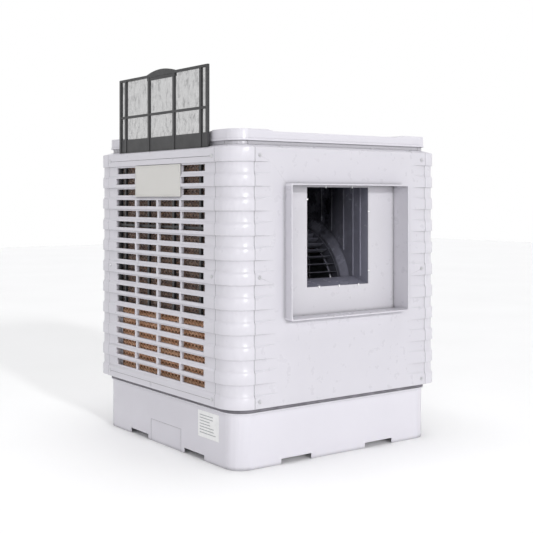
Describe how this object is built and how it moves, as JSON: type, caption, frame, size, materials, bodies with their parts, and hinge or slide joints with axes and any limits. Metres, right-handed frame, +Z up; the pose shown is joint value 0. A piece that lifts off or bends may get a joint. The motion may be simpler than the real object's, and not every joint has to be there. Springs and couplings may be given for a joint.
{
  "type": "evaporative cooler",
  "caption": "Side-discharge evaporative cooler: plastic cabinet with louvred faces, wet pads, sliding filters, a belt-driven blower behind a duct collar and a pumped basin.",
  "frame": {"origin": "centre of the footprint on the floor, midway across the bounding box", "axes": "+Z up, -Y out of the duct collar, +X to the right seen from the outlet"},
  "size_m": [0.949, 0.985, 1.345],
  "materials": {
    "cabinet_plastic": "satin moulded plastic",
    "basin_plastic": "satin moulded plastic",
    "lid_plastic": "satin moulded plastic",
    "plate_plastic": "satin moulded plastic",
    "clip_plastic": "gloss",
    "badge": "satin",
    "label": "printed film",
    "screw_steel": "zinc plated",
    "filter_plastic": "satin",
    "filter_mesh": "woven nylon net",
    "pad_cellulose": "honeycomb cellulose",
    "tray_steel": "galvanised",
    "trough_plastic": "satin",
    "pipe_plastic": "satin",
    "hose_rubber": "matt",
    "pump_plastic": "gloss",
    "impeller_plastic": "satin",
    "strainer_plastic": "satin",
    "brass": "satin",
    "float_plastic": "satin",
    "scroll_plastic": "satin moulded plastic",
    "wheel_plastic": "satin",
    "shaft_steel": "ground",
    "pulley_metal": "cast",
    "frame_steel": "galvanised",
    "motor_paint": "enamel",
    "belt_rubber": "matt",
    "box_plastic": "satin",
    "gland_plastic": "satin",
    "drain_plastic": "satin"
  },
  "bodies": {
    "cabinet": {"basin": "basin_plastic", "basin_floor": "basin_plastic", "drain_fitting": "drain_plastic", "column_front_left": "cabinet_plastic", "column_front_right": "cabinet_plastic", "column_rear_left": "cabinet_plastic", "column_rear_right": "cabinet_plastic", "outlet_panel": "cabinet_plastic", "mouth_plate": "plate_plastic", "mouth_clips": "clip_plastic", "grille_left": "cabinet_plastic", "grille_rear": "cabinet_plastic", "grille_right": "cabinet_plastic", "nameplate": "badge", "rating_sticker": "label", "panel_screws": "screw_steel", "pad_left": "pad_cellulose", "pad_rear": "pad_cellulose", "pad_right": "pad_cellulose", "pad_tray_left": "tray_steel", "pad_tray_rear": "tray_steel", "pad_tray_right": "tray_steel", "water_trough_left": "trough_plastic", "water_trough_rear": "trough_plastic", "water_trough_right": "trough_plastic", "header_pipe": "pipe_plastic", "riser_hose": "hose_rubber", "pump_body": "pump_plastic", "pump_strainer": "strainer_plastic", "float_valve_body": "brass", "scroll_band": "scroll_plastic", "scroll_cheek_left": "scroll_plastic", "scroll_cheek_right": "scroll_plastic", "inlet_ring_left": "scroll_plastic", "inlet_ring_right": "scroll_plastic", "shaft_bearings": "frame_steel", "bearing_brackets": "frame_steel", "blower_frame": "frame_steel", "motor_body": "motor_paint", "motor_bracket": "frame_steel", "drive_belt": "belt_rubber", "junction_box": "box_plastic", "cable_gland": "gland_plastic"},
    "lid": {"lid": "lid_plastic"},
    "filter_left": {"filter_frame_left": "filter_plastic", "filter_mesh_left": "filter_mesh"},
    "filter_rear": {"filter_frame_rear": "filter_plastic", "filter_mesh_rear": "filter_mesh"},
    "filter_right": {"filter_frame_right": "filter_plastic", "filter_mesh_right": "filter_mesh"},
    "blower_rotor": {"blower_wheel": "wheel_plastic", "blower_shaft": "shaft_steel", "driven_pulley": "pulley_metal"},
    "motor_rotor": {"motor_shaft": "shaft_steel", "motor_pulley": "pulley_metal"},
    "impeller": {"pump_impeller": "impeller_plastic"},
    "float": {"float_arm": "brass", "float_ball": "float_plastic"},
    "standpipe": {"overflow_standpipe": "box_plastic"}
  },
  "joints": [
    {"name": "lid_lift", "type": "slide", "parent": "cabinet", "child": "lid", "axis": [0, 0, 1], "range_m": [0, 0.3]},
    {"name": "filter_left_slide", "type": "slide", "parent": "cabinet", "child": "filter_left", "axis": [0, 0, 1], "range_m": [-0.27, 0.6]},
    {"name": "filter_rear_slide", "type": "slide", "parent": "cabinet", "child": "filter_rear", "axis": [0, 0, 1], "range_m": [0, 0.87]},
    {"name": "filter_right_slide", "type": "slide", "parent": "cabinet", "child": "filter_right", "axis": [0, 0, 1], "range_m": [0, 0.87]},
    {"name": "blower_spin", "type": "hinge", "parent": "cabinet", "child": "blower_rotor", "pos_m": [0, -0.06, 0.529], "axis": [1, 0, 0], "continuous": true},
    {"name": "motor_spin", "type": "hinge", "parent": "cabinet", "child": "motor_rotor", "pos_m": [0, 0.27, 0.86], "axis": [1, 0, 0], "continuous": true},
    {"name": "impeller_spin", "type": "hinge", "parent": "cabinet", "child": "impeller", "pos_m": [-0.3105, 0.3105, 0.05], "axis": [0, 0, 1], "continuous": true},
    {"name": "float_swing", "type": "hinge", "parent": "cabinet", "child": "float", "pos_m": [0.3, 0.389, 0.15], "axis": [-1, 0, 0], "range_deg": [0, 36]},
    {"name": "standpipe_pull", "type": "slide", "parent": "cabinet", "child": "standpipe", "axis": [0, 0, 1], "range_m": [0, 0.15]}
  ],
  "couplings": [
    {"joint": "motor_spin", "follows": "blower_spin", "ratio": 3.6486}
  ]
}
